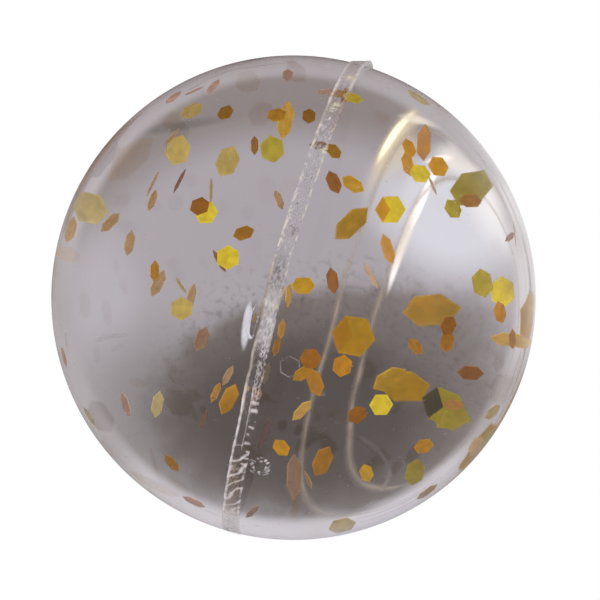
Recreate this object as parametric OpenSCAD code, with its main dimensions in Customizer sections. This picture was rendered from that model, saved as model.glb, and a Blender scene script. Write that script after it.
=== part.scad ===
// A clear rubber bouncy ball with gold glitter flakes cured into it.
// The rubber is pressed from two half charges in a two-part mould. They meet on the plane x = 0,
// and what squeezes out there is left as a low band of flash after trimming.
// The origin is the centre of the ball, x is the direction in which the mould opens, and z is up.

/* [Ball] */
// Diameter of the ball without its flash
ball_d = 32; // [27:0.5:49]

/* [Flash] */
// Width of the flash along the parting line
flash_w = 1.1; // [0.6:0.05:2]
// Height of the flash at the top of the ball, where the most was left on
flash_top = 0.5; // [0.2:0.05:0.8]
// Height of the flash at the bottom of the ball, where it was trimmed close
flash_bottom = 0.06; // [0.04:0.01:0.2]
// Depth of the root of the flash between the two halves
flash_root = 0.4; // [0.2:0.05:1]
// Chamfer along the edges of the flash at the top of the ball
chamfer_top = 0.2; // [0.1:0.05:0.3]
// Chamfer along the edges of the flash at the bottom of the ball
chamfer_bottom = 0.04; // [0.02:0.01:0.04]

/* [Flakes] */
// Width of one hexagonal flake across its flats
flake_flats = 1; // [0.6:0.05:1.2]
// Thickness of one flake
flake_t = 0.05; // [0.03:0.01:0.1]
// Cover of rubber over the flake that lies nearest to the surface
flake_cover = 1.85; // [0.5:0.05:4]

/* [Flake chart] */
// Refractive index of the rubber, which bends the line of sight to a flake
rubber_index = 1.5; // [1.4:0.01:1.6]
// Turn of the chart's viewpoint to the right of the parting plane, in degrees
chart_turn = 5; // [0:0.5:20]
// Rise of the chart's viewpoint above the middle of the ball, in degrees
chart_rise = 6; // [0:1:45]
// Lean of the parting plane to the right in the chart, in degrees
chart_lean = 15.5; // [0:0.5:30]

/* [Hidden] */
ball_r = ball_d / 2;
flake_r = flake_flats / 2 / cos(30);
flake_reach = ball_r - flake_cover - flake_r;
flash_r = ball_r + (flash_top + flash_bottom) / 2;
flash_rise = (flash_top - flash_bottom) / 2;
flash_root_r = ball_r - flash_root;
chamfer_r = flash_r - (chamfer_top + chamfer_bottom) / 2;
chamfer_rise = flash_rise - (chamfer_top - chamfer_bottom) / 2;
percent = 1 / 100;
$fn = 180;

// The chart of the flakes, as they are seen from its viewpoint through the rubber.
// One row is one flake: across and up from the centre of the ball in percent of its radius,
// depth along the bent line of sight in percent of the way through the ball,
// turn of the flake's long axis from level, and lean of its face about that axis, both in degrees.
// A lean above zero faces the flake to the left of its long axis.
// Each group of flakes is one node.
FLAKE_GROUPS = [
    ["flakes_upper_left_near", [
        [-28, 76, 15, 70, 35],
        [-7, 75, 20, 20, 35],
        [-16, 62.5, 25, 92, 68],
        [-6, 40, 25, 110, 70],
        [-38.5, 37.5, 26, 20, 28],
        [-41, 85, 20, 22, 76],
        [-33, 87, 28, 68, 66],
        [-49.5, 82.5, 20, 55, 50],
        [-2.5, 91.5, 22, 90, 58]
    ]],
    ["flakes_upper_left_mid", [
        [-42, 77, 40, 25, 50],
        [-8.8, 61.3, 55, 100, 25],
        [-50, 66, 30, 50, 78],
        [-58, 47, 50, 65, 86],
        [-47, 48, 48, 64, 84],
        [-58, 40, 30, 73, 70],
        [-34, 44, 45, 90, 83],
        [-36, 35, 42, 60, 15]
    ]],
    ["flakes_upper_left_deep", [
        [-3.5, 73.5, 68, 78, 64],
        [-48, 61, 60, 70, 40],
        [-27.5, 56.5, 66, 65, 48],
        [-84, 37, 58, 110, 10]
    ]],
    ["flakes_upper_right_near", [
        [24.5, 82, 18, -15, 45],
        [6.3, 74.5, 13, 85, 43],
        [16.5, 60, 13, -55, 45],
        [10.5, 62.5, 15, 0, 62],
        [47.5, 61.5, 26, -75, 50],
        [57, 46, 20, -70, 80],
        [65.5, 36.5, 27, -55, 30],
        [19, 84, 22, 10, 58],
        [13.5, 84.5, 12, 10, 62]
    ]],
    ["flakes_upper_right_mid", [
        [21.5, 83.5, 30, 80, 66],
        [51.5, 82.5, 38, -36, 60],
        [16.5, 47.5, 43, -68, 56],
        [24.3, 46.8, 47, -32, 55],
        [47, 55, 43, -78, 60],
        [52, 51, 32, 0, 25],
        [59.5, 54, 34, 60, 15],
        [73, 40, 42, 5, 55]
    ]],
    ["flakes_upper_right_deep", [
        [54, 64, 62, -88, 66],
        [73, 45, 65, 0, 5],
        [40, 36.5, 63, 0, 14]
    ]],
    ["flakes_middle_left_near", [
        [-57, 11, 25, 88, 62],
        [-46, 5, 15, -55, 78],
        [-5, -13, 28, 80, 72],
        [-7, -20, 22, 75, 70],
        [-94.5, -24.5, 22, -78, 60]
    ]],
    ["flakes_middle_left_mid", [
        [-20.5, 26.5, 31, 18, 50],
        [-75.5, 31, 45, 42, 65],
        [-92, 28, 40, 75, 50],
        [-67.5, 22.5, 45, 80, 66],
        [-27, 16.5, 44, 90, 8],
        [-30.5, 15, 46, 120, 78],
        [-46, -4.5, 44, 30, 20],
        [-38, -17, 50, 67, 60],
        [-27, -32, 35, 62, 72],
        [-2, 1, 42, 85, 76],
        [-11, -31, 35, 75, 77]
    ]],
    ["flakes_middle_left_deep", [
        [-56, 6, 58, 65, 68],
        [-42.5, 0, 60, 75, 74]
    ]],
    ["flakes_middle_right_near", [
        [89, 25, 20, 30, 72],
        [50, -20, 26, -47, 56],
        [63.5, -11.5, 25, 60, 35],
        [90, -17, 22, -80, 55]
    ]],
    ["flakes_middle_right_mid", [
        [4, 5, 40, 0, 40],
        [16, 7, 52, -82, 62],
        [91, 26, 36, 90, 86],
        [78, 6, 55, -80, 42],
        [86.5, 2.5, 56, -85, 38],
        [20, -28, 36, 80, 25],
        [7, -25, 33, 0, 12],
        [4, -31, 42, 35, 60],
        [63, -18, 32, 80, 45],
        [85, -6, 32, -70, 45],
        [73, -31, 50, -5, 58]
    ]],
    ["flakes_middle_right_deep", [
        [24, 31, 87, 44, 60],
        [39, 20, 66, -72, 68],
        [32, 9, 62, -60, 80],
        [57, -5, 90, 8, 42],
        [25, -16, 92, 50, 20],
        [90, -17.5, 60, -5, 66]
    ]],
    ["flakes_lower_left_near", [
        [-50, -68, 25, -58, 55],
        [-5, -61.5, 24, -55, 40],
        [-84, -49, 26, -55, 62]
    ]],
    ["flakes_lower_left_mid", [
        [-32, -39, 35, 65, 72],
        [-37, -50, 30, 70, 80],
        [-56, -44, 50, 78, 65],
        [-69, -44, 42, -75, 70],
        [-41, -84, 36, -25, 66],
        [-17, -88, 32, 55, 76],
        [-15, -41, 35, 70, 70]
    ]],
    ["flakes_lower_left_deep", [
        [-27, -42, 67, 65, 61],
        [-12, -56, 70, 70, 82]
    ]],
    ["flakes_lower_right_near", [
        [26, -48, 25, 40, 30],
        [53.5, -61, 29, 0, 40],
        [62, -50, 28, 45, 30],
        [82, -47, 28, 20, 50]
    ]],
    ["flakes_lower_right_mid", [
        [36, -44, 40, 0, 10],
        [30, -72, 30, -72, 52],
        [50, -72, 50, 80, 45],
        [55, -80, 35, 38, 60],
        [75.5, -61.5, 38, -60, 36],
        [20, -94, 44, 15, 35],
        [6, -75, 30, -70, 78],
        [3.5, -46.5, 52, 47, 68],
        [66, -44, 42, -10, 65]
    ]],
    ["flakes_lower_right_deep", [
        [0, -74, 73, 88, 66],
        [9, -35, 62, -70, 58],
        [40, -34, 78, 32, 60],
        [46, -37, 88, 10, 50],
        [62.5, -45.5, 75, -20, 10],
        [12, -67.5, 63, 63, 56]
    ]]
];

// Offset of a flake's sight line from the centre of the ball, as a share of the radius
function sight_offset(row) = norm([row[0], row[1]]) * percent;

// Angle by which the surface of the ball bends the sight line inwards
function sight_bend(row) = asin(sight_offset(row)) - asin(sight_offset(row) / rubber_index);

// Place on a unit ball where the sight line enters
function sight_entry(row) = [row[0] * percent, row[1] * percent, cos(asin(sight_offset(row)))];

// Direction from a point inside the ball back along the bent sight line
function sight_back(row) = let (outward = [row[0], row[1], 0] / norm([row[0], row[1]]))
    outward * sin(sight_bend(row)) + [0, 0, cos(sight_bend(row))];

// Length of the sight line inside a unit ball
function sight_length(row) = 2 * cos(asin(sight_offset(row) / rubber_index));

// Place of a flake in a unit ball, in the chart's frame
function chart_place(row) =
    sight_entry(row) - row[2] * percent * sight_length(row) * sight_back(row);

// Distance from the centre of a unit ball to the chart's outermost flake
chart_reach = max([for (group = FLAKE_GROUPS) for (row = group[1]) norm(chart_place(row))]);

// Place of a flake in the ball, with the outermost one right under its cover of rubber
function flake_place(row) = chart_place(row) * flake_reach / chart_reach;

// The chart's frame has x to the right, y up and z towards the viewpoint
module chart_frame() {
    rotate([0, 0, chart_turn])
        rotate([90 - chart_rise, 0, 0])
            rotate([0, 0, chart_lean])
                children();
}

module flake(row) {
    translate(flake_place(row))
        rotate(sight_bend(row), [-row[1], row[0], 0])
            rotate([0, 0, row[3]])
                rotate([row[4], 0, 0])
                    cylinder(r = flake_r, h = flake_t, center = true, $fn = 6);
}

module flakes(rows) {
    color("goldenrod")
        chart_frame()
            for (row = rows)
                flake(row);
}

// A round disc across the parting plane, with its axis along x
module parting_disc(r, width) {
    rotate([0, 90, 0])
        cylinder(r = r, h = width, center = true);
}

// One half of the rubber, with a rebate for the root of the flash and a pocket round each flake
module rubber_half(side) {
    difference() {
        intersection() {
            sphere(r = ball_r);
            translate([side * ball_r, 0, 0])
                cube(2 * ball_r, center = true);
        }
        difference() {
            parting_disc(r = flash_r, width = flash_w);
            parting_disc(r = flash_root_r, width = 2 * flash_w);
        }
        for (group = FLAKE_GROUPS)
            flakes(group[1]);
    }
}

module left_half() {
    color([0.86, 0.84, 0.9, 0.4])
        rubber_half(-1);
}

module right_half() {
    color([0.82, 0.8, 0.87, 0.4])
        rubber_half(1);
}

// The cones that chamfer both edges of the flash, each at 45 degrees
module chamfer_cones() {
    rotate([0, 90, 0])
        rotate_extrude()
            polygon([
                [0, -flash_w / 2],
                [chamfer_r, -flash_w / 2],
                [chamfer_r + flash_w / 2, 0],
                [chamfer_r, flash_w / 2],
                [0, flash_w / 2]
            ]);
}

// The flash is a flat band, set off upwards so that it all but dies out at the bottom
module flash_ring() {
    color([0.93, 0.92, 0.93, 0.7])
        difference() {
            intersection() {
                translate([0, 0, flash_rise])
                    parting_disc(r = flash_r, width = flash_w);
                translate([0, 0, chamfer_rise])
                    chamfer_cones();
            }
            parting_disc(r = flash_root_r, width = 2 * flash_w);
        }
}

left_half();
right_half();
flash_ring();
for (group = FLAKE_GROUPS)
    flakes(group[1]);
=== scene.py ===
import math

import bmesh
import bpy
from mathutils import Matrix, Vector, noise


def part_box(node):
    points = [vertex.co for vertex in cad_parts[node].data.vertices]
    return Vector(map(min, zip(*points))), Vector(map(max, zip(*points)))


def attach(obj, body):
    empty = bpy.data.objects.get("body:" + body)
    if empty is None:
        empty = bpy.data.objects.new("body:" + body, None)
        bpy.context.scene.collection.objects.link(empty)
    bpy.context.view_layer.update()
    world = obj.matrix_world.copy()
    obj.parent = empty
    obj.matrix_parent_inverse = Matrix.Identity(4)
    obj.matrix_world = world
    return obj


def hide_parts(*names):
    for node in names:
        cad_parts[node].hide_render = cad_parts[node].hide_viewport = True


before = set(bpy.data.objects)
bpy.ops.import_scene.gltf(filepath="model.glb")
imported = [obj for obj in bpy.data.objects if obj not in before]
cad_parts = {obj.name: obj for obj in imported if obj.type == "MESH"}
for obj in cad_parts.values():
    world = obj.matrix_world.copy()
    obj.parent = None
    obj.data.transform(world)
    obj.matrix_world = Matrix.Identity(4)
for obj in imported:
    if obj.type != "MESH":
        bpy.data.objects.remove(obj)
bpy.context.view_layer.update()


# The ball is one body of clear rubber, cured from two half charges in a polished two-part mould. Its wavy,
# scuffed skin is drawn in along the parting line to a shallow, blistered seat for the flash, with one clear
# bulge beside it. Inside, a flake that came loose has left the outline of its pocket as a thin gap.
MM = 0.001
weld = 0.001 * MM
ball_r = -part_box("left_half")[0].x
flash_half_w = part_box("flash_ring")[1].x
profile_points = 216
turn_steps = 600
seam_cuts = 6
ripple_height = 0.006 * MM
ripple_length = 6 * MM
seam_stray = 0.5 * MM
seam_stray_turns = (97, 190)
seam_stray_fade = 40
back_stray = -0.05 * MM
back_stray_turns = (255, 300)
back_stray_fade = 30
seat_half_w = 1.1 * flash_half_w
seat_depth = 0.008 * MM
blister_length = 0.42 * MM
blister_height = 0.01 * MM
front_blister_height = 0.04 * MM
front_blister_turns = (78, 101)
low_blister_height = 0.015 * MM
low_blister_turns = (101, 160)
bulge_across = -0.45 * MM
bulge_half_w = 0.45 * MM
bulge_turn = 90.5
bulge_half_turn = 6
bulge_height = 0.07 * MM
fine_half_w = 3 * flash_half_w
pocket_at = Vector((0.78, -1.2, -2.95)) * MM
pocket_r = 0.5 * MM
pocket_gap = 0.02 * MM
pocket_lean = math.radians(14)


def start_piece(name):
    """Names the mesh that an operator has just added, and returns its object."""
    piece = bpy.context.object
    piece.name = name
    piece.data.name = name
    return piece


def new_material(name):
    """A node material with a bare Principled shader: returns the material, its tree and the shader."""
    material = bpy.data.materials.new(name)
    material.use_nodes = True
    tree = material.node_tree
    return material, tree, tree.nodes["Principled BSDF"]


def turn_profile(piece, steps):
    """Turns a profile once round the X axis and closes it."""
    screw = piece.modifiers.new("turned", "SCREW")
    screw.axis = "X"
    screw.steps = steps
    screw.render_steps = steps
    screw.use_merge_vertices = True
    screw.merge_threshold = weld
    bpy.ops.object.modifier_apply(modifier=screw.name)
    bpy.ops.object.mode_set(mode="EDIT")
    bpy.ops.mesh.select_all(action="SELECT")
    bpy.ops.mesh.remove_doubles(threshold=weld)
    bpy.ops.mesh.normals_make_consistent(inside=False)
    bpy.ops.object.mode_set(mode="OBJECT")


def seam_turn(place):
    """How far round the parting line a place is, in degrees from the ball's top towards its front."""
    return math.degrees(math.atan2(-place.y, place.z))


def soft_edge(room, fade):
    """1 where there is room to an edge and 0 past it, with a soft change of this width at the edge."""
    return min(1, max(0, room / fade + 0.5))


def stretch(turn, start, end, fade=5):
    """1 between two angles round the parting line and 0 outside them, with soft ends."""
    middle, half = (start + end) / 2, (end - start) / 2
    off = abs((turn - middle + 180) % 360 - 180)
    return soft_edge(half - off, fade)


def stray(turn):
    """How far the parting line strays to the right, where the mould halves were out of line."""
    front = seam_stray * stretch(turn, *seam_stray_turns, fade=seam_stray_fade)
    back = back_stray * stretch(turn, *back_stray_turns, fade=back_stray_fade)
    return front + back


bpy.ops.object.select_all(action="DESELECT")
bpy.ops.mesh.primitive_circle_add(vertices=profile_points, radius=ball_r, rotation=(math.pi / 2, 0, 0))
ball = start_piece("clear_ball")
bpy.ops.object.transform_apply(rotation=True)
sketch = bmesh.new()
sketch.from_mesh(ball.data)
lower = [v for v in sketch.verts if v.co.z < -weld]
bmesh.ops.delete(sketch, geom=lower, context="VERTS")
by_seam = [e for e in sketch.edges if abs((e.verts[0].co.x + e.verts[1].co.x) / 2) < fine_half_w]
bmesh.ops.subdivide_edges(sketch, edges=by_seam, cuts=seam_cuts)
sketch.to_mesh(ball.data)
sketch.free()
turn_profile(ball, steps=turn_steps)
for vertex in ball.data.vertices:
    outward = vertex.co.normalized()
    turn = seam_turn(outward)
    ripple = ripple_height * noise.noise(outward * ball_r / ripple_length)
    across = min(1, abs(vertex.co.x - stray(turn)) / seat_half_w)
    seat = (1 - across ** 2) ** 2
    blister = blister_height
    blister += front_blister_height * stretch(turn, *front_blister_turns)
    blister += low_blister_height * stretch(turn, *low_blister_turns)
    blister *= noise.noise(outward * ball_r / blister_length)
    off_bulge = math.hypot(
        (vertex.co.x - bulge_across) / bulge_half_w,
        (turn - bulge_turn) / bulge_half_turn,
    )
    bulge = bulge_height * (1 - min(1, off_bulge) ** 2) ** 2
    vertex.co = outward * (ball_r + ripple + bulge + seat * (blister - seat_depth))
bpy.ops.object.shade_smooth()

bpy.ops.object.select_all(action="DESELECT")
bpy.ops.mesh.primitive_torus_add(
    major_segments=6, minor_segments=6, major_radius=pocket_r, minor_radius=pocket_gap,
    location=pocket_at, rotation=(math.pi / 2, pocket_lean, 0),
)
start_piece("empty_pocket")
bpy.ops.object.transform_apply(location=True, rotation=True)
bpy.ops.object.mode_set(mode="EDIT")
bpy.ops.mesh.select_all(action="SELECT")
bpy.ops.mesh.flip_normals()
bpy.ops.object.mode_set(mode="OBJECT")
ball.select_set(True)
bpy.context.view_layer.objects.active = ball
bpy.ops.object.join()

rubber_wear = bpy.data.node_groups.new("rubber_wear", "ShaderNodeTree")
rubber_wear.interface.new_socket("Spread", in_out="INPUT", socket_type="NodeSocketFloat")
rubber_wear.interface.new_socket("Scuffs", in_out="OUTPUT", socket_type="NodeSocketFloat")
rubber_wear.interface.new_socket("Haze", in_out="OUTPUT", socket_type="NodeSocketFloat")


def add_node(tree, kind, **settings):
    """A node of this kind with these settings."""
    node = tree.nodes.new(kind)
    for name, value in settings.items():
        setattr(node, name, value)
    return node


def feed(tree, node, **values):
    """Sets or links inputs of a node by name, with _ for a space."""
    for name, value in values.items():
        socket = node.inputs[name.replace("_", " ")]
        if isinstance(value, bpy.types.NodeSocket):
            tree.links.new(value, socket)
        else:
            socket.default_value = value


def calc(tree, operation, *values):
    """A Math node on these values or sockets: returns its output."""
    node = add_node(tree, "ShaderNodeMath", operation=operation)
    for socket, value in zip(node.inputs, values):
        if isinstance(value, bpy.types.NodeSocket):
            tree.links.new(value, socket)
        else:
            socket.default_value = value
    return node.outputs[0]


def step(tree, value, start, end):
    """A soft step from 0 at the start to 1 at the end."""
    node = add_node(tree, "ShaderNodeMapRange", interpolation_type="SMOOTHSTEP")
    feed(tree, node, Value=value, From_Min=start, From_Max=end)
    return node.outputs[0]


def grain(tree, place, scale, detail=2):
    """Noise with this many lumps to a metre along each axis: returns its value."""
    mapping = add_node(tree, "ShaderNodeMapping")
    feed(tree, mapping, Vector=place, Scale=scale)
    node = add_node(tree, "ShaderNodeTexNoise")
    feed(tree, node, Vector=mapping.outputs[0], Scale=1, Detail=detail)
    return node.outputs["Fac"]


# Short scratches in two directions, and specks: turn in degrees, how many to a metre, size and rarity.
scratch_kinds = (
    (8, (450, 2600, 2600), 0.13, 0.7),
    (-50, (400, 2600, 2600), 0.11, 0.8),
    (0, (800, 800, 800), 0.06, 0.6),
)
haze_scale = (700, 700, 700)
rubber_index = 1.5
polished_roughness = 0.025
haze_roughness = 0.025
scuff_roughness = 0.7
wear_in = rubber_wear.nodes.new("NodeGroupInput")
wear_out = rubber_wear.nodes.new("NodeGroupOutput")
place = rubber_wear.nodes.new("ShaderNodeTexCoord").outputs["Object"]
scuffs = 0
for turn, scale, size, rare in scratch_kinds:
    mapping = add_node(rubber_wear, "ShaderNodeMapping")
    feed(rubber_wear, mapping, Vector=place, Rotation=(0, math.radians(turn), 0), Scale=scale)
    cells = add_node(rubber_wear, "ShaderNodeTexVoronoi")
    feed(rubber_wear, cells, Vector=mapping.outputs[0], Scale=1)
    picked = add_node(rubber_wear, "ShaderNodeSeparateColor")
    feed(rubber_wear, picked, Color=cells.outputs["Color"])
    chosen = calc(rubber_wear, "GREATER_THAN", picked.outputs[0], rare)
    mark = step(rubber_wear, cells.outputs["Distance"], size, size / 2)
    mark = calc(rubber_wear, "MULTIPLY", mark, chosen)
    scuffs = calc(rubber_wear, "MAXIMUM", scuffs, mark)
scuffs = calc(rubber_wear, "MULTIPLY", scuffs, wear_in.outputs["Spread"])
haze = step(rubber_wear, grain(rubber_wear, place, haze_scale, detail=4), 0.35, 0.75)
rubber_wear.links.new(scuffs, wear_out.inputs["Scuffs"])
rubber_wear.links.new(haze, wear_out.inputs["Haze"])

clear_rubber, tree, shader = new_material("clear_rubber")
wear = add_node(tree, "ShaderNodeGroup", node_tree=rubber_wear)
feed(tree, wear, Spread=0.6)
rough = calc(tree, "MULTIPLY_ADD", wear.outputs["Haze"], haze_roughness, polished_roughness)
rough = calc(tree, "MULTIPLY_ADD", wear.outputs["Scuffs"], scuff_roughness, rough)
bump = add_node(tree, "ShaderNodeBump")
feed(tree, bump, Strength=0.1, Distance=0.005 * MM, Height=wear.outputs["Scuffs"])
feed(tree, shader, Base_Color=(0.985, 0.978, 0.985, 1), Roughness=rough, Normal=bump.outputs[0])
feed(tree, shader, IOR=rubber_index, Transmission_Weight=1)
ball.data.materials.append(clear_rubber)

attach(ball, "root")
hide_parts("left_half", "right_half")


# The flash is rubber that was squeezed out between the mould halves and trimmed by hand: a clear band, high
# at the top of the ball and cut close at the bottom. Where knife and mould tore it, it is frayed, white and
# a little stained, and a curl of torn rubber has stuck to the ball beside it. A few yellow-white spots on
# it
# are painted highlights: glints painted as colour.
flash_low, flash_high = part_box("flash_ring")
flash_top = flash_high.z - ball_r
flash_bottom = -flash_low.z - ball_r
flash_sink = 0.12 * MM
flash_points = 26
flash_steps = 960
torn_height = 0.04 * MM
trim_depth = 0.01 * MM
tip_turns = (-70, 60)
tip_cut = 0.5
tip_slant = 0.34
edge_spread = 1.05
edge_ragged = 0.08
grain_length = 0.22 * MM
grain_drawn_out = 2
patch_fade = 0.25
dash_length = 0.5 * MM
dash_share = 0.35
dash_contrast = 2
line_apart = 5
line_waver = 0.06
waver_stretch = 0.7
waver_apart = Vector((2, 0, 0))
tear_wobble = 2.5
tooth_turns = (109, 131)
tooth_length = 0.1 * MM
tooth_middle = 0.66
tooth_half_w = 0.42
tooth_fade = 0.2
tooth_slant = 0.8
tooth_sharpness = 1.5
tooth_cover = 0.8
ridge_turns = (124, 150)
ridge_length = 0.2 * MM
ridge_slope = 1.3
ridge_wobble = 1.5
ridge_sharpness = 5
ridge_cover = 0.5
ridge_grain = 0.3
spot_and_glint_cover = 0.7
least_cover = 0.02
scrap_turn = math.radians(129)
scrap_across = 1.92 * MM
scrap_r = 0.6 * MM
scrap_half_w = 0.18 * MM
scrap_flatness = 0.2
scrap_cover = 0.7
scrap_shredding = 1.8
torn_scale = (5000, 5000, 5000)
torn_roughness = 0.25
torn_haze_roughness = 0.2
scuff_cover = 0.3
clean = (0.8, 0.78, 0.8)
frost = (0.84, 0.81, 0.85)
cream = (0.85, 0.77, 0.68)
tan = (0.95, 0.82, 0.67)
stain = (0.50, 0.36, 0.24)
soot = (0.16, 0.15, 0.14)
clear_grey = (0.52, 0.47, 0.49)
# Yellow-white for the painted glints: highlights painted into the band's colour.
painted_glint = (1.0, 0.93, 0.62)

# Torn lines along the band: from and to round the parting line in degrees, place across the band in half
# widths of it, half width of the line in millimetres, how well it covers, how broken it is, and its colour.
torn_lines = (
    (-40, 24, -0.86, 0.09, 0.75, 0.4, frost),
    (-40, 24, 0.86, 0.10, 0.70, 0.3, frost),
    (20, 42, -0.84, 0.09, 0.65, 0.7, cream),
    (18, 44, 0.82, 0.07, 0.55, 0.8, stain),
    (40, 80, -0.86, 0.09, 0.55, 1.0, cream),
    (40, 80, 0.84, 0.07, 0.40, 1.0, cream),
    (77, 92, -0.92, 0.10, 0.45, 0.4, stain),
    (95, 113, -0.80, 0.10, 0.60, 0.5, cream),
    (108, 152, -0.86, 0.07, 0.95, 0.5, frost),
    (107, 125, 0.05, 0.04, 0.45, 0.4, frost),
    (130, 152, 0.86, 0.07, 0.65, 0.8, frost),
    (240, 330, -0.70, 0.035, 0.60, 0.5, tan),
    (240, 330, 0.70, 0.035, 0.60, 0.5, tan),
    (212, 240, -0.70, 0.035, 0.18, 0.6, tan),
    (215, 240, 0.70, 0.035, 0.08, 0.7, tan),
)

# Torn patches: from and to in degrees, middle and half width across the band in its half widths,
# how well they cover, how speckled they are (above 1 only specks are left), and their colour.
torn_patches = (
    (-40, 22, 0.0, 1.2, 0.55, 0.3, clear_grey),
    (20, 40, 0.1, 0.8, 0.12, 1.0, frost),
    (38, 80, 0.0, 1.0, 0.30, 1.6, frost),
    (44, 72, 0.2, 0.7, 0.60, 3.5, soot),
    (76, 87, -0.1, 0.7, 0.75, 1.3, soot),
    (83, 97, 0.1, 0.85, 0.42, 0.55, frost),
    (95, 113, 0.45, 0.45, 0.36, 1.1, frost),
    (98, 116, -0.2, 0.4, 0.15, 1.5, frost),
    (128, 150, -0.1, 0.7, 0.45, 1.0, stain),
    (148, 172, 0.0, 1.0, 0.30, 0.8, cream),
)

# Spots on the band, some of them painted glints, which are highlights painted as yellow-white colour: place
# round the parting line in degrees, across the band, size and colour.
band_spots_and_painted_glints = (
    (17, 0.1, 0.5, painted_glint),
    (18.5, 0.4, 0.4, painted_glint),
    (31, 0.1, 0.4, painted_glint),
    (33, -0.1, 0.45, painted_glint),
    (36.5, -0.1, 0.3, frost),
    (47, 0.75, 0.4, painted_glint),
    (66, -0.7, 0.3, frost),
    (68.5, 0.45, 0.28, soot),
    (70, 0.3, 0.22, soot),
    (86.5, -0.6, 0.3, frost),
    (87, 0.2, 0.25, frost),
    (90.5, 0.25, 0.3, frost),
    (90.3, -0.45, 0.2, soot),
    (131, -0.7, 0.35, frost),
)


def lumps(place, length):
    """Noise from 0 to 1 with lumps of this length."""
    return min(1, max(0, 0.5 + 1.2 * noise.noise(place / length)))


def patches_at(place, turn, across):
    """How well each torn patch covers a place on the band, and its colour."""
    drawn_out = Vector((grain_drawn_out * place.x, place.y, place.z))
    for start, end, middle, half_w, cover, grainy, tint in torn_patches:
        inside = soft_edge(half_w - abs(across - middle), patch_fade)
        speckle = max(0, 1 - grainy * (1 - lumps(drawn_out, grain_length)))
        yield stretch(turn, start, end) * inside * cover * speckle, tint


def lines_at(place, turn, across):
    """How well each torn line covers a place on the band, and its colour."""
    for number, (start, end, middle, half_w, cover, broken, tint) in enumerate(torn_lines):
        along = Vector((line_apart * number, place.y / dash_length, place.z / dash_length))
        dash = min(1, max(0, dash_share + dash_contrast * noise.noise(along)))
        waver = line_waver * noise.noise(along * waver_stretch + waver_apart)
        off = (across - middle - waver) * flash_half_w / (half_w * MM)
        whole = 1 - broken * (1 - dash)
        yield stretch(turn, start, end) * cover * whole * math.exp(-off ** 2), tint


def tears_at(place, turn, across):
    """How well the teeth at the band's right edge, and then the ridges across it, cover a place on it."""
    arc = math.radians(turn) * ball_r
    wobble = tear_wobble * noise.noise(place / (4 * grain_length))
    tooth = max(0, math.sin(arc / tooth_length - tooth_slant * across + wobble)) ** tooth_sharpness
    tooth *= soft_edge(tooth_half_w - abs(across - tooth_middle), tooth_fade)
    tooth *= tooth_cover * lumps(place, 2 * grain_length) ** 0.5
    yield stretch(turn, *tooth_turns) * tooth, frost
    wave = (arc + ridge_slope * place.x) / ridge_length + ridge_wobble * wobble
    ridge = max(0, math.sin(wave)) ** ridge_sharpness
    ridge *= ridge_cover + ridge_grain * lumps(place, grain_length)
    yield stretch(turn, *ridge_turns) * ridge, frost


def spots_and_painted_glints_at(place, turn, across):
    """How well each spot and painted glint covers a place on the band, and its colour."""
    for spot_turn, spot_across, size, tint in band_spots_and_painted_glints:
        away = Vector((across - spot_across, math.radians(turn - spot_turn) * ball_r / flash_half_w))
        spot = math.exp(-((away.length / size) ** 2))
        yield spot_and_glint_cover * lumps(place, 0.6 * grain_length) * spot, tint


def torn_rubber_and_glints(place):
    """The colour of the band at a place on it, painted glints included, and how well torn rubber covers
    what is behind it there.
    """
    turn = seam_turn(place)
    across = place.x / flash_half_w
    clear = 1
    colour = Vector(clean)
    for marks_at in (patches_at, lines_at, tears_at, spots_and_painted_glints_at):
        for cover, tint in marks_at(place, turn, across):
            share = cover / max(least_cover, 1 - clear * (1 - cover))
            colour = colour.lerp(Vector(tint), min(1, share))
            clear *= 1 - cover
    return colour, 1 - clear


bpy.ops.object.select_all(action="DESELECT")
bpy.ops.mesh.primitive_grid_add(x_subdivisions=flash_points, y_subdivisions=2, size=2)
flash = start_piece("flash_band")
sketch = bmesh.new()
sketch.from_mesh(flash.data)
inner = [v for v in sketch.verts if abs(v.co.x) < 0.99 and abs(v.co.y) < 0.99]
bmesh.ops.delete(sketch, geom=sketch.faces[:], context="FACES_ONLY")
bmesh.ops.delete(sketch, geom=inner, context="VERTS")
for vertex in sketch.verts:
    across, up = vertex.co.x, (vertex.co.y + 1) / 2
    vertex.co = (across * flash_half_w, 0, ball_r - flash_sink + up * flash_sink * 2)
sketch.to_mesh(flash.data)
sketch.free()
turn_profile(flash, steps=flash_steps)
torn_and_glint_paint = []
for vertex in flash.data.vertices:
    x, y, z = vertex.co
    turn = seam_turn(vertex.co)
    out = math.hypot(y, z)
    share = (out - (ball_r - flash_sink)) / (2 * flash_sink)
    height = (flash_top + flash_bottom) / 2 + (flash_top - flash_bottom) / 2 * z / out
    height *= 1 - stretch(turn, *tip_turns, fade=20) * (tip_cut - tip_slant * x / flash_half_w)
    colour, cover = torn_rubber_and_glints(Vector((x, y / out * ball_r, z / out * ball_r)))
    rough = torn_height * cover - trim_depth
    skin = math.sqrt(ball_r ** 2 - x ** 2)
    new_out = skin - flash_sink + share * (flash_sink + height + rough)
    ragged = edge_spread + edge_ragged * noise.noise(Vector((math.copysign(1, x), y / MM, z / MM)))
    vertex.co = (x * ragged + stray(turn), y / out * new_out, z / out * new_out)
    torn_and_glint_paint.extend((*colour, 1 - (1 - cover) ** 2 if share > 0.5 else 0))
flash.data.attributes.new("torn_and_glints", "FLOAT_COLOR", "POINT").data.foreach_set("color", torn_and_glint_paint)

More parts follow.
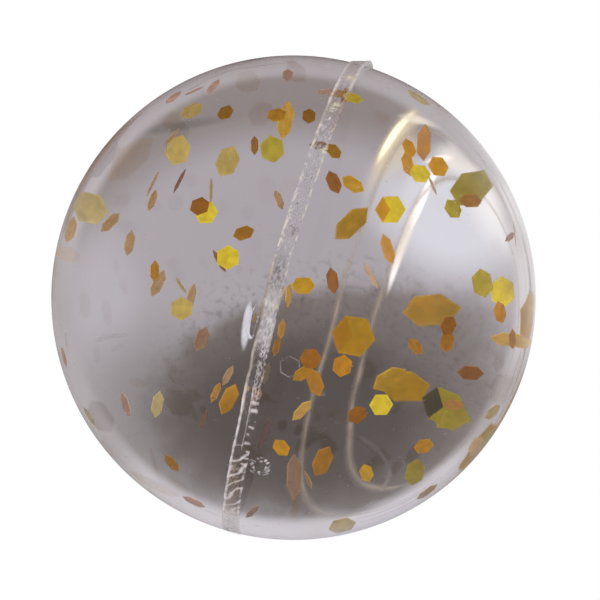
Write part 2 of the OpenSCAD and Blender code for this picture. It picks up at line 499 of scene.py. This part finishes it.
scrap_out = Vector((scrap_across, -math.sin(scrap_turn) * ball_r, math.cos(scrap_turn) * ball_r))
scrap_out.normalize()
bpy.ops.object.select_all(action="DESELECT")
bpy.ops.mesh.primitive_torus_add(
    major_segments=96, minor_segments=12, major_radius=scrap_r, minor_radius=scrap_half_w,
    location=scrap_out * ball_r, rotation=scrap_out.to_track_quat("Z", "Y").to_euler(),
)
scrap = start_piece("flash_scrap")
bpy.ops.object.transform_apply(location=True, rotation=True)
scrap_paint = []
for vertex in scrap.data.vertices:
    above = vertex.co.dot(scrap_out) - ball_r
    vertex.co += scrap_half_w * noise.noise_vector(vertex.co / (3 * scrap_half_w))
    vertex.co = vertex.co.normalized() * (ball_r + scrap_flatness * above)
    shred = max(0, 1 - scrap_shredding * (1 - lumps(vertex.co, scrap_half_w)))
    scrap_paint.extend((*frost, scrap_cover * shred))
scrap.data.attributes.new("torn_and_glints", "FLOAT_COLOR", "POINT").data.foreach_set("color", scrap_paint)
flash.select_set(True)
bpy.context.view_layer.objects.active = flash
bpy.ops.object.join()
bpy.ops.object.shade_smooth()

flash_rubber, tree, shader = new_material("flash_rubber")
# The band's colour and cover come from one attribute: torn rubber, stains and painted glints.
torn_and_glints = add_node(tree, "ShaderNodeAttribute", attribute_name="torn_and_glints")
wear = add_node(tree, "ShaderNodeGroup", node_tree=rubber_wear)
feed(tree, wear, Spread=0.8)
scuffed = calc(tree, "MULTIPLY", wear.outputs["Scuffs"], scuff_cover)
cover = calc(tree, "MAXIMUM", torn_and_glints.outputs["Alpha"], scuffed)
rough = calc(tree, "MULTIPLY_ADD", wear.outputs["Haze"], torn_haze_roughness, torn_roughness)
bump = add_node(tree, "ShaderNodeBump")
place = tree.nodes.new("ShaderNodeTexCoord").outputs["Object"]
feed(tree, bump, Strength=0.3, Distance=0.03 * MM, Height=grain(tree, place, torn_scale))
feed(tree, shader, Base_Color=torn_and_glints.outputs["Color"], Alpha=cover)
feed(tree, shader, Roughness=rough, Normal=bump.outputs[0])
flash.data.materials.append(flash_rubber)

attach(flash, "root")
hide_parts("flash_ring")


# The flakes are hexagons punched from metallised film with a gold lacquer, and cured into the rubber as
# they fell.
# Their tones run from lemon to dark brown: the lacquer's own spread, with painted light and shade for how
# each one catches the light. Some are nearly flat, some are creased across two corners, some are cupped,
# and three are painted as folded over on their left side: that part is not bent, and its colour is painted
# darker for the back of the fold and the shade on it.
film_share = 0.6
rim_w = 0.05 * MM
rim_start = 0.8
# Colour factor for the faces round each flake's edge: a painted highlight along the rim.
painted_rim_highlight = 1.08
fold_line = -0.2
mottle_scale = (2600, 2600, 2600)
crumple_scale = (5000, 5000, 5000)
# Tones of the flakes: lacquer colours with light and shade painted in, paler for flakes painted as catching
# the light and darker for flakes painted as lying in shade.
flake_lacquer_light_shade = {
    "L": (0.95, 0.74, 0.04),  # lemon
    "Y": (0.80, 0.66, 0.30),  # yellow straw
    "G": (0.88, 0.52, 0.025),  # gold
    "A": (0.80, 0.40, 0.015),  # amber
    "O": (0.60, 0.27, 0.012),  # ochre
    "B": (0.42, 0.16, 0.008),  # brown
    "R": (0.34, 0.13, 0.06),  # russet
    "N": (0.17, 0.08, 0.05),  # nut
    "J": (0.10, 0.085, 0.05),  # jet
    "K": (0.26, 0.19, 0.09),  # khaki
    "M": (0.48, 0.29, 0.16),  # mocha
    "H": (0.66, 0.50, 0.14),  # honey
    "D": (0.50, 0.40, 0.04),  # dull olive
    "T": (0.70, 0.46, 0.20),  # tan
    "P": (0.90, 0.58, 0.42),  # peach
    "C": (1.0, 0.60, 0.1),  # copper
}

# One letter is the tone of one flake of a node, from the top down: its lacquer with painted light and
# shade.
# A small letter is a flake painted as folded: its left part takes a darker colour of its own, for the back
# of the fold and painted shade on it.
# Colours of the left part of a folded flake: the back of a fold that is not bent here, with painted shade
# on it, near black on one flake.
fold_backs_and_shade = {"l": "A", "d": "J", "g": "A"}
flake_tones = {
    "flakes_upper_left_near": "PAOPPPOTB",
    "flakes_upper_left_mid": "HTDTRTLT",
    "flakes_upper_left_deep": "GHHY",
    "flakes_upper_right_near": "PLOOAMATD",
    "flakes_upper_right_mid": "BYALAOBG",
    "flakes_upper_right_deep": "ODl",
    "flakes_middle_left_near": "AYAOP",
    "flakes_middle_left_mid": "OLTBGTTHMKT",
    "flakes_middle_left_deep": "TT",
    "flakes_middle_right_near": "PBOO",
    "flakes_middle_right_mid": "PODLBGOBOBA",
    "flakes_middle_right_deep": "ATGCCg",
    "flakes_lower_left_near": "AYO",
    "flakes_lower_left_mid": "MAYPRPM",
    "flakes_lower_left_deep": "AN",
    "flakes_lower_right_near": "YDBA",
    "flakes_lower_right_mid": "OLTCDTGTY",
    "flakes_lower_right_deep": "GGdOOM",
}


def flake_frames(node):
    """The place of each flake of a CAD node, its corner and face directions, radius and thickness."""
    solid = bmesh.new()
    solid.from_mesh(node.data)
    bmesh.ops.remove_doubles(solid, verts=solid.verts, dist=weld)
    waiting = set(solid.verts)
    frames = []
    while waiting:
        island, reached = set(), [waiting.pop()]
        while reached:
            vertex = reached.pop()
            island.add(vertex)
            for link in vertex.link_edges:
                other = link.other_vert(vertex)
                if other in waiting:
                    waiting.discard(other)
                    reached.append(other)
        centre = sum((v.co for v in island), Vector()) / len(island)
        faces = {face for v in island for face in v.link_faces}
        widest = max(round(face.calc_area() / MM ** 2, 3) for face in faces)
        wide = [face.normal for face in faces if face.calc_area() / MM ** 2 > widest - 0.01]
        normal = max(wide, key=lambda way: (round(way.z, 3), way.x)).normalized()
        rims = [v.co - centre for v in island if (v.co - centre).dot(normal) > 0]
        corner = max(rims, key=lambda rim: (round(rim.z / MM, 3), rim.x))
        corner = (corner - normal * corner.dot(normal)).normalized()
        thickness = max((v.co - centre).dot(normal) for v in island) * 2
        radius = max((v.co - centre - normal * (v.co - centre).dot(normal)).length for v in island)
        frames.append((centre, corner, normal, radius, thickness))
    solid.free()
    return sorted(frames, key=lambda found: -found[0].z)


_, _, _, flake_r, flake_t = flake_frames(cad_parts["flakes_upper_left_near"])[0]


def master_flake(name, fold, cup):
    """One hexagonal flake at the origin with a corner on +Y, folded across two corners and cupped."""
    bpy.ops.object.select_all(action="DESELECT")
    bpy.ops.mesh.primitive_circle_add(vertices=6, radius=flake_r, fill_type="NGON")
    master = start_piece(name)
    bpy.ops.object.mode_set(mode="EDIT")
    bpy.ops.mesh.select_all(action="SELECT")
    bpy.ops.mesh.inset(thickness=rim_w)
    bpy.ops.mesh.poke()
    bpy.ops.object.mode_set(mode="OBJECT")
    for vertex in master.data.vertices:
        vertex.co.z += max(0, vertex.co.x) * math.tan(math.radians(fold))
        vertex.co.z -= cup * (1 - vertex.co.xy.length / flake_r)
    walls = master.modifiers.new("walls", "SOLIDIFY")
    walls.thickness = film_share * flake_t
    walls.offset = 0
    bpy.ops.object.modifier_apply(modifier=walls.name)
    return master


flake_masters = [
    master_flake("flat_flake", fold=0, cup=0.006 * MM),
    master_flake("folded_flake", fold=2, cup=0),
    master_flake("cupped_flake", fold=1, cup=0.012 * MM),
]

gold_flake, tree, shader = new_material("gold_flake")
# Each face's tone, its lacquer with painted light and shade, read from an attribute.
lacquer_light_shade = add_node(tree, "ShaderNodeAttribute", attribute_name="lacquer_light_shade")
place = tree.nodes.new("ShaderNodeTexCoord").outputs["Object"]
mottle = add_node(tree, "ShaderNodeMapRange")
feed(tree, mottle, Value=grain(tree, place, mottle_scale))
feed(tree, mottle, From_Min=0.3, From_Max=0.7, To_Min=0.82, To_Max=1.1)
tinted = add_node(tree, "ShaderNodeVectorMath", operation="SCALE")
tree.links.new(lacquer_light_shade.outputs["Color"], tinted.inputs[0])
tree.links.new(mottle.outputs[0], tinted.inputs["Scale"])
bump = add_node(tree, "ShaderNodeBump")
feed(tree, bump, Strength=0.25, Distance=0.02 * MM, Height=grain(tree, place, crumple_scale))
feed(tree, shader, Base_Color=tinted.outputs[0], Normal=bump.outputs[0])
feed(tree, shader, Metallic=0.5, Roughness=0.4, Specular_IOR_Level=0.2)

flake_count = 0
for node_name, letters in flake_tones.items():
    copies = []
    for (centre, corner, normal, _, _), letter in zip(flake_frames(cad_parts[node_name]), letters):
        master = flake_masters[flake_count % len(flake_masters)]
        mesh = master.data.copy()
        turned = Matrix((corner.cross(normal), corner, normal)).transposed().to_4x4()
        turned.translation = centre
        mesh.transform(turned)
        paint = []
        for face in mesh.polygons:
            off = face.center - centre
            # On a small-letter flake the faces left of the fold line get the darker fold colour: back
            # colour and painted shade, with no bend there.
            painted_fold_side = letter.islower() and off.x < fold_line * flake_r
            lacquer_light_shade = flake_lacquer_light_shade[fold_backs_and_shade[letter] if painted_fold_side else letter.upper()]
            # Faces at the rim take the painted rim highlight.
            shade = painted_rim_highlight if off.length > rim_start * flake_r else 1
            paint.extend((*(shade * c for c in lacquer_light_shade), 1))
        mesh.attributes.new("lacquer_light_shade", "FLOAT_COLOR", "FACE").data.foreach_set("color", paint)
        copy = bpy.data.objects.new(node_name + "_copy", mesh)
        bpy.context.scene.collection.objects.link(copy)
        copies.append(copy)
        flake_count += 1
    bpy.ops.object.select_all(action="DESELECT")
    for copy in copies:
        copy.select_set(True)
    bpy.context.view_layer.objects.active = copies[0]
    bpy.ops.object.join()
    flakes = start_piece(node_name.replace("flakes", "gold_flakes"))
    flakes.data.materials.append(gold_flake)
    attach(flakes, "root")
    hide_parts(node_name)
for master in flake_masters:
    bpy.data.objects.remove(master)


# The studio is a white sweep round the ball, lit by large soft panels, with a dark wall behind it.
# The camera looks along the parting plane, a little from the right and from above.
view_turn = math.radians(5)
view_rise = math.radians(6)
view_lean = math.radians(15.5)
view_distance = 1.5
ball_px = 242.3
ball_centre_px = (293.56, 297.68)
picture_px = 600
sensor = 36
floor_r = 4

view_axes = (
    Matrix.Rotation(view_turn, 3, "Z")
    @ Matrix.Rotation(math.pi / 2 - view_rise, 3, "X")
    @ Matrix.Rotation(view_lean, 3, "Z")
)
camera_data = bpy.data.cameras.new("camera")
camera = bpy.data.objects.new("camera", camera_data)
bpy.context.scene.collection.objects.link(camera)
bpy.context.scene.camera = camera
camera.matrix_world = Matrix.Translation(view_axes @ Vector((0, 0, view_distance))) @ view_axes.to_4x4()
outline_slope = ball_r / math.sqrt(view_distance ** 2 - ball_r ** 2)
camera_data.sensor_width = sensor
camera_data.lens = ball_px / outline_slope * sensor / picture_px
camera_data.shift_x = (picture_px / 2 - ball_centre_px[0]) / picture_px
camera_data.shift_y = (ball_centre_px[1] - picture_px / 2) / picture_px
camera_data.clip_start = 0.01

bpy.ops.object.select_all(action="DESELECT")
bpy.ops.mesh.primitive_circle_add(
    vertices=64, radius=floor_r, fill_type="TRIFAN", location=(0, 0, flash_low.z)
)
floor = start_piece("floor")
floor.visible_transmission = False
floor.visible_glossy = False
floor.visible_diffuse = False
floor_white, tree, shader = new_material("floor_white")
feed(tree, shader, Base_Color=(0, 0, 0, 1), Specular_IOR_Level=0)
feed(tree, shader, Emission_Color=(1, 1, 1, 1), Emission_Strength=1)
floor.data.materials.append(floor_white)

# A chart of the room as the ball shows it: a direction is placed where the ball's lens brings it, in ball
# radii from the centre of the picture. A second chart places it where the ball's front mirrors it.
room = bpy.data.worlds.new("studio")
bpy.context.scene.world = room
room.use_nodes = True
sky = room.node_tree


def along(axis):
    """How far the direction in the room goes along this axis."""
    node = add_node(sky, "ShaderNodeVectorMath", operation="DOT_PRODUCT")
    sky.links.new(direction, node.inputs[0])
    node.inputs[1].default_value = axis
    return node.outputs["Value"]


def chart_of(spread):
    """A chart of directions, as their parts to the right and to the top times this spread."""
    node = add_node(sky, "ShaderNodeCombineXYZ")
    feed(sky, node, X=calc(sky, "MULTIPLY", to_right, spread), Y=calc(sky, "MULTIPLY", to_top, spread))
    return node.outputs[0]


drift_scale = 9
drift_size = 0.1
tiny = 0.0001
direction = sky.nodes.new("ShaderNodeTexCoord").outputs["Generated"]
to_right, to_top, to_viewer = (along(axis) for axis in view_axes.transposed())
ball_lens = sky.nodes.new("ShaderNodeFloatCurve")
curve = ball_lens.mapping.curves[0]
curve.points[0].location = (0, 0)
curve.points[1].location = (1, 1)
for radius in (0.2, 0.4, 0.6, 0.8, 0.9, 0.95, 1):
    bend = 2 * (math.asin(radius) - math.asin(radius / rubber_index))
    curve.points.new(bend / math.pi, radius / 2)
ball_lens.mapping.update()
away = calc(sky, "ARCCOSINE", calc(sky, "MULTIPLY", to_viewer, -1))
feed(sky, ball_lens, Value=calc(sky, "DIVIDE", away, math.pi))
sideways = calc(sky, "SQRT", calc(sky, "SUBTRACT", 1, calc(sky, "MULTIPLY", to_viewer, to_viewer)))
chart_radius = calc(sky, "MULTIPLY", ball_lens.outputs[0], -2)
lens_chart = chart_of(calc(sky, "DIVIDE", chart_radius, calc(sky, "MAXIMUM", sideways, tiny)))
halfway = calc(sky, "SQRT", calc(sky, "MULTIPLY_ADD", to_viewer, 2, 2 + tiny))
mirror_chart = chart_of(calc(sky, "DIVIDE", 1, halfway))
drift = add_node(sky, "ShaderNodeTexNoise", noise_dimensions="2D")
feed(sky, drift, Vector=lens_chart, Scale=drift_scale, Detail=3)
drift_off = add_node(sky, "ShaderNodeVectorMath", operation="MULTIPLY_ADD")
sky.links.new(drift.outputs["Color"], drift_off.inputs[0])
drift_off.inputs[1].default_value = (drift_size, drift_size, 0)
sky.links.new(lens_chart, drift_off.inputs[2])
ragged_chart = drift_off.outputs[0]

# The tones of the room by height, where 0 is straight down and 1 is straight up.
height = sky.nodes.new("ShaderNodeSeparateXYZ")
sky.links.new(direction, height.inputs[0])
base = sky.nodes.new("ShaderNodeValToRGB")
feed(sky, base, Fac=calc(sky, "MULTIPLY_ADD", height.outputs[2], 0.5, 0.5))
ramp = base.color_ramp
ramp.elements[0].color = (0.45, 0.41, 0.43, 1)
ramp.elements[1].color = (0.72, 0.69, 0.74, 1)
room_heights = (
    (0.15, (0.47, 0.43, 0.45)),
    (0.37, (0.55, 0.5, 0.52)),
    (0.63, (0.42, 0.38, 0.39)),
    (0.85, (0.55, 0.52, 0.55)),
    (0.95, (0.66, 0.63, 0.68)),
)
for share, colour in room_heights:
    ramp.elements.new(share).color = (*colour, 1)


def oval(chart, centre, half_size, turn, soft):
    """A mask of one soft-edged oval in the room, placed on a chart."""
    mapping = add_node(sky, "ShaderNodeMapping", vector_type="TEXTURE")
    feed(sky, mapping, Vector=chart, Location=(*centre, 0), Rotation=(0, 0, math.radians(turn)))
    feed(sky, mapping, Scale=(*half_size, 1))
    length = add_node(sky, "ShaderNodeVectorMath", operation="LENGTH")
    sky.links.new(mapping.outputs[0], length.inputs[0])
    return step(sky, length.outputs["Value"], 1 + soft, 1 - soft)


def over(below, above, mask):
    """Hangs one tone, a colour or a socket, over another where the mask is 1: returns the new tone."""
    mix = add_node(sky, "ShaderNodeMix", data_type="RGBA")
    sky.links.new(mask, mix.inputs["Factor"])
    sky.links.new(below, mix.inputs["A"])
    if isinstance(above, bpy.types.NodeSocket):
        sky.links.new(above, mix.inputs["B"])
    else:
        mix.inputs["B"].default_value = (*above, 1)
    return mix.outputs["Result"]


def hang(tone, chart, *panels):
    """Hangs panels on a tone, each with its centre, half size, turn, softness and colour."""
    for centre, half_size, turn, soft, colour in panels:
        tone = over(tone, colour, oval(chart, centre, half_size, turn, soft))
    return tone


ray = sky.nodes.new("ShaderNodeLightPath")
bounced = calc(sky, "ADD", ray.outputs["Diffuse Depth"], ray.outputs["Glossy Depth"])

# The front panel lights the flakes. Light that goes straight through the ball sees it calmer.
lights = hang(
    base.outputs["Color"],
    mirror_chart,
    ((0, 0.1), (0.62, 0.6), 0, 0.35, (1.3, 1.24, 1.18)),
    ((0, 0), (0.24, 0.24), 0, 0.9, (0.5, 0.47, 0.45)),
)
calm = hang(lights, mirror_chart, ((0, 0.1), (0.48, 0.46), 0, 0.35, (0.66, 0.63, 0.65)))
lights = over(calm, lights, bounced)

# What the front of the ball mirrors: the tones of the rim, the dark top, the pale right side and bottom,
# and one narrow window.
gloss = hang(
    base.outputs["Color"],
    mirror_chart,
    ((0, 0), (2, 2), 0, 0.1, (0.34, 0.31, 0.32)),
    ((-0.3, 0.9), (0.9, 0.5), 15, 0.4, (0.14, 0.1, 0.1)),
    ((1.0, 0.3), (0.25, 0.65), 15, 0.4, (0.85, 0.82, 0.84)),
    ((0.1, -1.0), (0.8, 0.2), 0, 0.4, (0.46, 0.44, 0.5)),
    ((0, 0), (0.8, 0.8), 0, 0.3, (0.3, 0.29, 0.31)),
    ((-0.192, -0.115), (0.017, 0.09), -8, 0.3, (12, 12, 13.5)),
)

# What shows along the rim of the ball: a dimmer lower left, and paler panels below and at the right.
walls = hang(
    lights,
    lens_chart,
    ((-0.84, -0.485), (0.12, 0.3), 30, 0.4, (0.42, 0.38, 0.4)),
    ((0.485, -0.84), (0.35, 0.12), 30, 0.4, (0.7, 0.67, 0.72)),
    ((1.0, 0), (0.12, 0.4), 0, 0.4, (0.66, 0.62, 0.63)),
    ((0.98, 0.4), (0.09, 0.34), 24, 0.3, (1.5, 1.42, 1.4)),
)

# What shows through the ball: the white sweep, a dark arch over it, pale panels and shadows.
sweep = (0.405, 0.373, 0.402)
backdrop = hang(
    base.outputs["Color"],
    lens_chart,
    ((0, 0), (2, 2), 0, 0.04, sweep),
    ((-0.08, 0.36), (0.86, 0.57), 0, 0.06, (0.245, 0.206, 0.2)),
    ((0, -0.12), (0.98, 0.8), 0, 0.14, sweep),
    ((-0.52, 0.7), (0.22, 0.02), 8, 0.6, (0.16, 0.14, 0.135)),
    ((-0.78, 0), (0.14, 0.24), 0, 0.6, (0.47, 0.44, 0.48)),
    ((0.65, 0.35), (0.3, 0.25), -20, 0.45, (0.72, 0.71, 0.77)),
    ((0.84, 0.4), (0.1, 0.18), 25, 0.7, (0.98, 0.95, 0.95)),
    ((-0.46, -0.5), (0.4, 0.34), 0, 0.6, (0.25, 0.225, 0.23)),
)

# The dark wall low behind the ball, with a ragged edge and dust on it.
backdrop = hang(
    backdrop,
    ragged_chart,
    ((0.36, -0.12), (0.54, 0.22), 0, 0.25, (0.22, 0.19, 0.185)),
    ((0.2, -0.4), (0.71, 0.46), 0, 0.14, (0.175, 0.148, 0.14)),
    ((0.1, -0.46), (0.56, 0.36), 0, 0.4, (0.07, 0.056, 0.05)),
)
dust_scale = (38, 38, 38)
dust_cover = 0.35
dust_tone = (0.06, 0.05, 0.046)
dust = step(sky, grain(sky, lens_chart, dust_scale, detail=4), 0.5, 0.7)
dust = calc(sky, "MULTIPLY", dust, oval(ragged_chart, (0.2, -0.3), (0.7, 0.5), 0, 0.2))
backdrop = over(backdrop, dust_tone, calc(sky, "MULTIPLY", dust, dust_cover))

# Streaks of light that the ball brings together at its right.
backdrop = hang(
    backdrop,
    lens_chart,
    ((0.44, 0.64), (0.04, 0.17), -32, 0.8, (0.8, 0.66, 0.44)),
    ((0.43, 0.66), (0.018, 0.11), -34, 0.5, (1.6, 1.4, 0.95)),
    ((0.62, 0.7), (0.14, 0.012), -14, 0.6, (0.8, 0.74, 0.7)),
    ((0.54, 0.725), (0.07, 0.014), -14, 0.7, (0.95, 0.84, 0.68)),
    ((0.68, 0.57), (0.09, 0.045), -20, 0.7, (1.0, 0.92, 0.86)),
    ((0.59, 0.57), (0.05, 0.012), 12, 0.5, (1.4, 1.15, 1.0)),
    ((0.5, 0.36), (0.019, 0.17), -24.6, 0.4, (1.6, 1.5, 1.45)),
    ((0.42, 0.15), (0.014, 0.11), -17, 0.5, (1.2, 1.12, 1.08)),
    ((0.45, 0.24), (0.022, 0.12), -20, 0.6, (0.95, 0.84, 0.76)),
    ((0.85, 0.42), (0.035, 0.14), 28, 0.6, (1.3, 1.25, 1.2)),
    ((0.72, 0.62), (0.07, 0.07), 0, 0.7, (0.62, 0.58, 0.58)),
)

# Inside its rim the ball shows the backdrop, and at the rim the walls. Only mirrored light sees the gloss.
tone = over(walls, backdrop, oval(lens_chart, (0, 0), (0.92, 0.92), 0, 0.03))
mirrored = calc(sky, "MULTIPLY", ray.outputs["Is Glossy Ray"], ray.outputs["Is Reflection Ray"])
tone = over(tone, gloss, mirrored)

# The camera itself sees plain white behind the ball.
background = sky.nodes["Background"]
sky.links.new(tone, background.inputs["Color"])
white = sky.nodes.new("ShaderNodeBackground")
white.inputs["Color"].default_value = (1, 1, 1, 1)
mixed = sky.nodes.new("ShaderNodeMixShader")
sky.links.new(ray.outputs["Is Camera Ray"], mixed.inputs["Fac"])
sky.links.new(background.outputs[0], mixed.inputs[1])
sky.links.new(white.outputs[0], mixed.inputs[2])
sky.links.new(mixed.outputs[0], sky.nodes["World Output"].inputs["Surface"])

rubber_bounces = 24
scene = bpy.context.scene
scene.view_settings.view_transform = "Standard"
scene.cycles.use_denoising = True
scene.cycles.max_bounces = rubber_bounces
scene.cycles.transmission_bounces = rubber_bounces
scene.cycles.glossy_bounces = 8
scene.cycles.transparent_max_bounces = rubber_bounces
